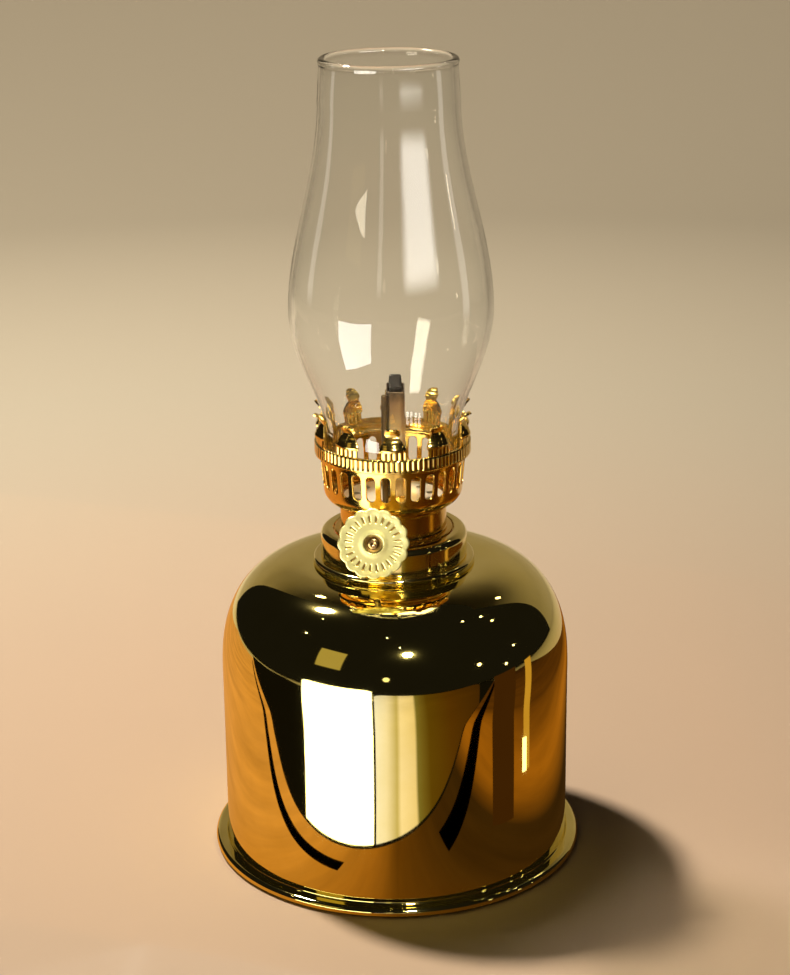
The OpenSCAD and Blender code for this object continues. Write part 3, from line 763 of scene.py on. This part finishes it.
def build_winder():
    """Scalloped thumb wheel with a ring of cut ticks and a rivet in its recess, its shaft and stop ring."""
    def lobed(r, z, a):
        scallop = LOBE_DEPTH * (1 - abs(math.cos(a * LOBES / 2)))
        out = ease((r - 3) / (KNOB_R - 3))
        if z > -0.06 and TICK_IN - 0.05 < r < TICK_OUT + 0.05:
            cut = ease((0.2 - off_tick(a)) / 0.06) * ease((r - TICK_IN) / 0.2) * ease((TICK_OUT - r) / 0.2)
            z -= 0.13 * cut
        dish = 0.1 * ease((r - 2.2) / 1.2) * ease((7.6 - r) / 1.6) if z > -0.5 and r > 2.2 else 0
        return r - scallop * out, z - dish

    floor, back, hub_r, hub_back = -0.5, -KNOB_T, 2.4, -KNOB_T - 1.7
    front = [(2.3 + 0.2 * i, 0) for i in range(25)]
    outline = (rounded([(SHAFT_R, floor, 0), (KNOB_RECESS_R, floor, 0.1), (KNOB_RECESS_R, 0, 0.12)], 3)[1:]
               + front + arc(KNOB_R - 0.3, -0.3, 0.3, 90, 0, 6)
               + arc(KNOB_R - 0.25, back + 0.25, 0.25, 0, -90, 5) + [(6, back), (4, back), (2.6, back)]
               + rounded([(hub_r, back, 0.2), (hub_r, hub_back, 0.3), (SHAFT_R, hub_back, 0.1)], 4)[3:]
               + [(SHAFT_R, -1.2), (SHAFT_R, floor)])
    wheel = piece("winder_wheel", "winder", *turned(outline, LOBES * 24, lobed), KNOB_BRASS,
                  "thumb_wheel", "lacquered_brass", ON_SHAFT)
    wheel.data.materials.append(PAINTED_SHADE_BRASS)
    back_to_local = ON_SHAFT.inverted()
    # Faces on the cut ticks and in the recess take the painted-shade brass.
    for f in wheel.data.polygons:
        c = back_to_local @ f.center / MM
        on_tick = (c.z > -0.4 and off_tick(math.atan2(c.y, c.x)) < 0.155
                   and TICK_IN + 0.1 < c.xy.length < TICK_OUT - 0.1)
        in_recess = c.z < -0.06 and c.xy.length < KNOB_RECESS_R + 0.06
        f.material_index = int(on_tick or in_recess)
    rivet = ([(0, floor), (1.25, floor)] + arc(1.05, -0.28, 0.2, 0, 60, 4)
             + [(0.75, 0.0), (0.45, -0.04), (0.3, -0.12), (0, -0.15)])
    piece("rivet_head", "winder", *turned(rivet, 64), DARK_BRASS, "wheel_rivet", "plain_brass", ON_SHAFT)
    end = -SHAFT_REACH - 4
    outline = rounded([(0, end, 0), (SHAFT_R, end, 0.2), (SHAFT_R, floor, 0.02), (0, floor, 0)], 4)
    piece("shaft", "winder", *turned(outline, 64), STEEL, "winder_shaft", "steel", ON_SHAFT)
    r, low, high = 1.4, 9.1 - SHAFT_REACH, 9.9 - SHAFT_REACH
    stop = rounded([(SHAFT_R, low, 0), (r, low, 0.15), (r, high, 0.15), (SHAFT_R, high, 0)])
    piece("stop_ring", "winder", *turned(stop, 64), STEEL, "stop_collar", "steel", ON_SHAFT)


def build_bush():
    inner, low, seat, top = SHAFT_R + 0.05, 10 - SHAFT_REACH, 12.2 - SHAFT_REACH, 12.7 - SHAFT_REACH
    r, flange_r = 1.4, 1.8
    outline = rounded([(inner, low, 0), (r, low, 0.1), (r, seat, 0), (flange_r, seat, 0.05),
                       (flange_r, top, 0.2), (inner, top, 0.1)])
    piece("bush", "burner", *turned(outline, 64), BRASS, "shaft_bush", "lacquered_brass", ON_SHAFT)


# ---- wick

def build_wick():
    """Flat braid: plied cords run up it and pass over and under each other."""
    low_end, high_end = span("wick")
    (x, half_x), half_y, low, high = middle(low_end, high_end), high_end[1], low_end[2], high_end[2]
    pile, inside = 0.13, -1.2
    rows = [low + (high - low) * i / 300 for i in range(301)]
    outline = [(inside, low)] + [(0, z) for z in rows] + [(inside, high)]

    def braid(point, k, off):
        px, py, pz = point
        if off < 0:
            return point
        cord = math.sin(2 * math.pi * CORDS * k + 0.5 * math.sin(pz * 2.4))
        pick = math.cos(math.pi * pz / 0.75 + (math.pi if int(CORDS * k) % 2 else 0))
        lift = 0.07 * cord + 0.045 * pick
        out = Vector((px - x, py)).normalized()
        return px + out.x * lift, py + out.y * lift, pz

    braided = swept(x, half_x - pile, half_y - pile, 0.7, outline, 24, braid)
    piece("braided_wick", "wick", *braided, COTTON, "wick", "cotton")


def build_char():
    """Burnt end: a crumbly lump, lower at the front where it burnt back further."""
    low_end, high_end = span("burnt_wick_tip")
    (x, half_x), half_y, low, high = middle(low_end, high_end), high_end[1] - 0.1, low_end[2], high_end[2]
    edge, inset = 0.5, 0.7
    sides = [(0, low + (high - edge - low) * i / 22) for i in range(23)]
    crown = [(-inset * (1 - math.cos(k)), high - edge + edge * math.sin(k))
             for k in [math.pi / 2 * i / 8 for i in range(1, 9)]]
    outline = [(-0.65, low)] + sides + crown

    def crumbled(point, k, off):
        px, py, pz = point
        up = (pz - low) / (high - low)
        burnt = 1 - 0.3 * ease((0.5 - py) / 3.2)
        rough = 0.17 * ripple(px, py, pz, 1.7) + 0.1 * ripple(px, py, pz, 4.5)
        out = Vector((px - x, py)).normalized() if off > -inset else Vector((0, 0))
        z = low + (pz - low) * burnt
        return px + out.x * (rough - 0.12), py + out.y * (rough - 0.12), z + min(0, 0.3 * rough * up)

    verts, faces = swept(x, half_x, half_y, 0.75, outline, 14, crumbled)
    size = len(verts) // len(outline)
    faces = [f for f in faces if max(f) - min(f) < (len(outline) - 1) * size - size]
    faces.append(tuple(range(size))[::-1])
    faces.append(tuple(range(len(verts) - size, len(verts))))
    piece("burnt_tip", "wick", verts, faces, CHAR, "burnt_wick_tip", "burnt_cotton")


# ---- chimney

def glass_side(inside, steps=64):
    """The chimney's side from the foot to under the rim, moved in by a thickness."""
    neck_r, belly_z, neck_z, flare_z = 15.35, 126.7, 172, GLASS_Z + 4
    low = [(GLASS_FOOT_R - inside + (BELLY_R - GLASS_FOOT_R) * ease((i / steps) ** 0.85),
            flare_z + (belly_z - flare_z) * i / steps) for i in range(steps + 1)]
    high = [(BELLY_R - inside + (neck_r - BELLY_R) * ease(i / steps),
             belly_z + (neck_z - belly_z) * i / steps) for i in range(1, steps + 1)]
    return low + high


def build_chimney():
    lip, bead, edge = GLASS_T / 2, 0.15, 0.35
    waist, under_rim = (15.1, 176), 179.3
    outline = (arc(GLASS_FOOT_R - GLASS_T + edge, GLASS_Z + edge, edge, 180, 270, 4)
               + arc(GLASS_FOOT_R - edge, GLASS_Z + edge, edge, 270, 360, 4) + glass_side(0)
               + [waist, (GLASS_RIM_R - 0.05, under_rim)]
               + arc(GLASS_RIM_R - lip, GLASS_TOP - lip - bead, lip + bead, -20, 200, 14)
               + [(GLASS_RIM_R - GLASS_T, under_rim), (waist[0] - GLASS_T, waist[1])]
               + glass_side(GLASS_T)[::-1])

    def blown(r, z, a):
        x, y = math.cos(a), math.sin(a)
        wave = 0.16 * ripple(x, y, z * 0.03, 1) + 0.04 * ripple(x * 2.5, y * 2.5, z * 0.06, 1)
        grip = ease((z - GLASS_Z - 5) / 12) * ease((GLASS_TOP - z) / 8)
        tall = 0.12 * ripple(x, y, 9.3, 0.9) if z > GLASS_TOP - 2 else 0
        return r + wave * grip, z - abs(tall)

    return piece("glass_chimney", "chimney", *turned(outline, 224, blown), GLASS, "chimney", "clear_glass")


for build in (build_tank, build_foot, build_collar, build_gasket, build_thread, build_drum, build_seat,
              build_basket, build_crown, build_tubes, build_winder, build_bush, build_wick, build_char):
    build()
chimney = build_chimney()

for node, material in (("burner_floor", BRASS), ("air_plate", BRIGHT_TIN), ("shaft_saddle", PLAIN_BRASS),
                       ("spur_wheels", STEEL)):
    data = frame["nodes"][node].data
    data.materials.clear()
    data.materials.append(material)


# ---- floor, backdrop, lights and camera

def paper():
    """Pale studio paper: warm under the lamp, beige further off."""
    s = Shader("studio_paper", Roughness=0.85)
    s.colour(s.mix(s.between(s.radius(), 0.05, 0.4), (0.28, 0.207, 0.152), (0.255, 0.23, 0.186)))
    return s.material


def direction(azimuth, elevation):
    """A unit vector out from the lamp; azimuth 0 is towards the camera and 90 towards +X."""
    a, e = math.radians(azimuth), math.radians(elevation)
    return Vector((math.sin(a) * math.cos(e), -math.cos(a) * math.cos(e), math.sin(e)))


def stage_mesh(name, verts, faces, material):
    """A smooth mesh of the set, its points in metres."""
    mesh = bpy.data.meshes.new(name)
    mesh.from_pydata(verts, [], faces)
    mesh.materials.append(material)
    mesh.shade_smooth()
    obj = placed(name, mesh)
    return obj


def cyclorama(name, first, last, top=1.5, wall_r=0.95, cove=0.25, steps=72):
    """Cove and wall of a round studio between two azimuths; the cove leaves the floor at wall_r - cove."""
    profile = [(wall_r - cove + cove * math.sin(t), cove - cove * math.cos(t))
               for t in [math.pi / 2 * (i / 24) ** 1.3 for i in range(25)]] + [(wall_r, top)]
    verts = [direction(first + (last - first) * k / steps, 0) * r + Vector((0, 0, z))
             for r, z in profile for k in range(steps + 1)]
    faces = [(a, d, c, b) for a, b, c, d in grid_faces(len(profile), steps + 1)]
    return stage_mesh(name, verts, faces, PAPER)


PAPER = paper()
backdrop = cyclorama("studio_back", 125, 213)
front_wall = cyclorama("studio_front", -147, 125)
front_wall.visible_glossy = front_wall.visible_diffuse = False
floor = stage_mesh("studio_floor", [direction(5 * k, 0) * 0.9 for k in range(72)], [tuple(range(72))], PAPER)


def area_light(name, azimuth, elevation, distance, width, height, power, colour, target=(0, 0, 0.08)):
    light = bpy.data.lights.new(name, "AREA")
    light.shape, light.size, light.size_y = "RECTANGLE", width, height
    light.energy, light.color = power, colour
    obj = placed(name, light)
    aim = Vector(target)
    obj.location = aim + direction(azimuth, elevation) * distance
    obj.rotation_euler = (aim - obj.location).to_track_quat("-Z", "Y").to_euler()
    obj.visible_camera = False
    return obj


def emits(shader, colour, strength, see_through=False):
    """Makes a material a plain emitter; with see_through, what is behind it still shows."""
    lit = shader.node("Emission")
    shader.put(colour, lit.inputs["Color"])
    shader.put(strength, lit.inputs["Strength"])
    result = lit.outputs[0]
    if see_through:
        both = shader.node("AddShader")
        shader.link(result, both.inputs[0])
        shader.link(shader.node("BsdfTransparent").outputs[0], both.inputs[1])
        result = both.outputs[0]
    shader.link(result, shader.tree.nodes["Material Output"].inputs["Surface"])
    return shader.material


def glow(name, strength, colour, see_through=False):
    return emits(Shader(name), colour, strength, see_through)


def reflector(name, corners, material):
    """A card that only shows in reflections."""
    obj = stage_mesh(name, corners, [tuple(range(len(corners)))], material)
    for way in ("camera", "diffuse", "transmission", "shadow", "volume_scatter"):
        setattr(obj, "visible_" + way, False)
    return obj


# The table that the tank mirrors: its front edge and grooves run along u, turned from the X axis by a slope.
# Its cards lie at three heights, so that a mark hides the table under it.
TABLE_SLOPE, TABLE_EDGE = -0.36, -0.071
TABLE_Z, MARK_Z, STRIPE_Z = 0.0006, 0.001, 0.0012


def table_strip(u0, v0, u1, v1, z):
    return [(u, v + TABLE_SLOPE * u, z) for u, v in ((u0, v0), (u1, v0), (u1, v1), (u0, v1))]


def tank_point(azimuth):
    """Point of the tank's wall, at floor height, that mirrors an azimuth to the camera."""
    return direction(azimuth / 2, 0) * TANK_R * MM


def window(left, right, rise, reach=0.5):
    """A card beyond the table's edge between two mirrored azimuths, rising away, its far corners rounded."""
    points = []
    for azimuth in (right, left):
        start, d = tank_point(azimuth), direction(azimuth, 0)
        t = (TABLE_EDGE - 0.001 + TABLE_SLOPE * start.x - start.y) / (d.y - TABLE_SLOPE * d.x)
        points.append((*(start + d * t).xy, MARK_Z))
    for azimuth, far in ((left, 0.82), (left + 1.5, 0.93), (left + 5, 1),
                         (right - 5, 1), (right - 1.5, 0.93), (right, 0.82)):
        p = tank_point(azimuth) + direction(azimuth, 0) * reach * far
        points.append((p.x, p.y, MARK_Z + rise * far))
    return points


def ray_strip(left, right, near, far, rise):
    """A card that the tank mirrors as an upright stripe between two azimuths."""
    return [tank_point(a) + direction(a, 0) * r + Vector((0, 0, STRIPE_Z + rise * r / far))
            for a, r in ((left, near), (left, far), (right, far), (right, near))]


def graded(name, source, low, high, grain, *places):
    """Glow whose colour runs through stops between two values of x or of the azimuth, with fine grain."""
    s = Shader(name)
    x, y, _ = s.axes()
    value = s.math("ARCTAN2", x, s.math("MULTIPLY", y, -1)) if source == "azimuth" else x
    tone = s.ramp(s.between(value, low, high, "LINEAR"), *places)
    speckle = s.ramp(s.noise(1, 4, 0.6, s.stretched(*grain)), (0.3, 0.75), (0.7, 1.15))
    return emits(s, s.mix(1.0, tone, speckle, "MULTIPLY"), 1.0)


def soft_card(name, azimuth, elevation, distance, width, height, centre, strength, colour, soft=0.5):
    """An upright card that faces a point, bright in the middle and fading to its edges."""
    s = Shader(name)
    w, h = width / 2, height / 2
    fades = [s.between(s.math("ABSOLUTE", value), half, half * (1 - soft))
             for value, half in zip(s.axes(), (w, h))]
    faded = s.math("MULTIPLY", s.math("MULTIPLY", *fades), strength)
    card = reflector(name, [(-w, -h, 0), (w, -h, 0), (w, h, 0), (-w, h, 0)], emits(s, colour, faded, True))
    out = direction(azimuth, elevation)
    facing = out.to_track_quat("Z", "Y").to_matrix().to_4x4()
    card.matrix_world = Matrix.Translation(Vector(centre) + out * distance) @ facing
    return card


def lit_by_choice(name, state, *objects):
    """A collection that a light or a card is linked to: only these objects, or all but these."""
    chosen = bpy.data.collections.new(name)
    for obj in objects:
        chosen.objects.link(obj)
    for member in chosen.collection_objects:
        member.light_linking.link_state = state
    return chosen


WARM = (1.0, 0.88, 0.70)
lamp_only = lit_by_choice("lamp_only", "EXCLUDE", backdrop, front_wall, floor)
not_glass = lit_by_choice("not_glass", "EXCLUDE", chimney)
glass_only = lit_by_choice("glass_only", "INCLUDE", chimney)

area_light("key", -130, 59, 0.75, 0.09, 0.09, 16, WARM).data.shape = "DISK"
for light in (area_light("top_fill", 168, 68, 0.8, 0.32, 0.2, 1.2, WARM),
              area_light("front_soft", -42, 24, 0.75, 0.22, 0.16, 1.2, (1.0, 0.9, 0.7))):
    light.visible_glossy = False
    light.light_linking.receiver_collection = lamp_only
thumb_wheel = (-0.0044, -0.023, 0.0803)
knob_lamp = area_light("knob_lamp", 10, 36, 0.6, 0.06, 0.06, 3.2, (1.0, 0.92, 0.66), thumb_wheel)
knob_lamp.data.shape = "DISK"
knob_lamp.light_linking.receiver_collection = lamp_only
wall_wash = area_light("wall_wash", 0, 30, 0.6, 0.9, 0.25, 3.0, (1.0, 0.85, 0.62), (-0.15, 0.93, 0.2))
wall_wash.visible_glossy = False

black = glow("black_card", 0.0, (0, 0, 0))
dusk = glow("dusk_card", 0.006, (1.0, 0.8, 0.5))
# The mirrored table's colours carry light and shade: lit orange wood on the left, a dark band from the middle
# to about 6 cm right that is the painted shadow of the lamp and the shade in front of the tank, a brown
# stripe, then dark wood.
bench_with_painted_shadow = graded("bench_with_painted_shadow", "x", -0.4, 0.4, (60, 9, 9),
               (0.0, (0.70, 0.33, 0.10)), (0.42, (0.76, 0.34, 0.09)), (0.465, (0.6, 0.25, 0.045)),
               (0.485, (0.42, 0.16, 0.02)), (0.5, (0.12, 0.045, 0.004)), (0.53, (0.06, 0.025, 0.004)),
               (0.57, (0.04, 0.018, 0.004)), (0.6, (0.4, 0.14, 0.01)), (0.66, (0.1, 0.035, 0.004)),
               (1.0, (0.04, 0.015, 0.004)))
stripes = graded("window_dim", "azimuth", math.radians(-13.5), math.radians(55), (3, 3, 3),
                 (0.0, (1.1, 1.1, 1.7)), (0.12, (1.0, 0.9, 1.1)), (0.2, (0.6, 0.5, 0.3)),
                 (0.23, (1.0, 0.85, 0.9)), (0.34, (0.86, 0.7, 0.6)), (0.36, (0.2, 0.17, 0.05)),
                 (0.4, (0.17, 0.12, 0.025)), (0.46, (0.11, 0.06, 0.004)), (0.65, (0.09, 0.036, 0.002)),
                 (1.0, (0.05, 0.02, 0.003)))
window_white = glow("window_white", 5.5, (1.0, 0.97, 0.86))
for name, corners, material in (
        ("room_front", table_strip(-0.6, -0.4, 0.6, TABLE_EDGE, TABLE_Z), dusk),
        ("bench_top", table_strip(-0.5, TABLE_EDGE, 0.5, 0.2, TABLE_Z), bench_with_painted_shadow),
        ("groove_left", table_strip(-0.4, -0.062, -0.023, -0.057, MARK_Z), black),
        ("groove_right", table_strip(0.025, -0.06, 0.4, -0.049, MARK_Z), black),
        ("window_left", window(-62, -15, 0.05), window_white),
        ("window_right", window(-13.5, 55, 0.02), stripes),
        ("door_edge", ray_strip(93, 99, 0.052, 0.6, 0.02), glow("door_edge", 0.6, (1.0, 0.55, 0.1))),
        ("door_gap", ray_strip(66, 84, 0.03, 0.6, 0.02), glow("door_gap", 1.0, (0.05, 0.018, 0.003))),
        ("bench_glint", ray_strip(92, 96, 0.05, 0.068, 0.003), glow("bench_glint", 3.5, (1.0, 0.9, 0.6)))):
    reflector(name, corners, material).light_linking.receiver_collection = not_glass
soft_card("dim_panel", -45, 24, 0.8, 0.26, 0.28, (0, 0, 0.06), 0.42, (1.0, 0.78, 0.28), 0.1)

for i, (azimuth, elevation, size, strength) in enumerate((
        (-161, 44, 0.04, 30), (-80, 41, 0.016, 35), (-104, 60, 0.01, 25),
        (91, 60, 0.016, 25), (104, 52, 0.02, 25), (98, 43, 0.02, 25), (138, 42, 0.04, 10),
        (-9, 63, 0.012, 30), (4, 48, 0.014, 30), (57, 11, 0.045, 8), (77, 2, 0.03, 8), (88, 12, 0.02, 20),
        (-6, 10, 0.07, 1.6))):
    out = direction(azimuth, elevation)
    side = direction(azimuth + 90, 0) * size / 2
    up = out.cross(side)
    ring = [Vector((0, -0.02, 0.06)) + out * 0.9 + side * math.cos(k * math.pi / 6)
            + up * math.sin(k * math.pi / 6) for k in range(12)]
    reflector(f"room_lamp_{i}", ring, glow(f"room_lamp_{i}", strength, (1.0, 0.88, 0.66)))

DAYLIGHT = (1.0, 0.97, 0.9)
cards = [soft_card(name, azimuth, elevation, 0.5, width, height, (0, 0, 0.15), strength, DAYLIGHT)
         for name, azimuth, elevation, width, height, strength in (
             ("streak_wide", 36, 15, 0.44, 0.3, 13), ("streak_thin", -12, 12, 0.06, 0.26, 2.5),
             ("streak_right", 88, 0, 0.12, 0.3, 3), ("streak_left", -100, 5, 0.1, 0.3, 2.2))]
blob = [direction(a, 0) * r + Vector((0, 0, 0.004 + 0.13 * r))
        for a, r in ((-60, 0.12), (-58, 0.42), (-20, 0.42), (-24, 0.13))]
cards.append(reflector("belly_blob", blob, glow("blob_white", 14, DAYLIGHT, True)))
for card in cards:
    card.light_linking.receiver_collection = glass_only

world = bpy.data.worlds.new("dim_room")
world.use_nodes = True
world.node_tree.nodes["Background"].inputs["Color"].default_value = (0.009, 0.008, 0.007, 1)
bpy.context.scene.world = world
bpy.context.scene.view_settings.view_transform = "Standard"


def make_camera():
    """The photo's view: its pitch, its slight turn and roll, its place and its lens."""
    pitch, yaw, roll = math.radians(18.84), math.radians(0.05), math.radians(-0.63)
    forward = Vector((math.sin(yaw) * math.cos(pitch), math.cos(yaw) * math.cos(pitch), -math.sin(pitch)))
    right = Vector((math.cos(yaw), -math.sin(yaw), 0))
    up = right.cross(forward)
    r = right * math.cos(roll) + up * math.sin(roll)
    u = -right * math.sin(roll) + up * math.cos(roll)
    data = bpy.data.cameras.new("camera")
    data.sensor_width, data.lens = 36, 82.41
    camera = placed("camera", data)
    place = Matrix.Translation((0, -0.474, 0.247))
    camera.matrix_world = place @ Matrix((r, u, -forward)).transposed().to_4x4()
    bpy.context.scene.camera = camera


make_camera()
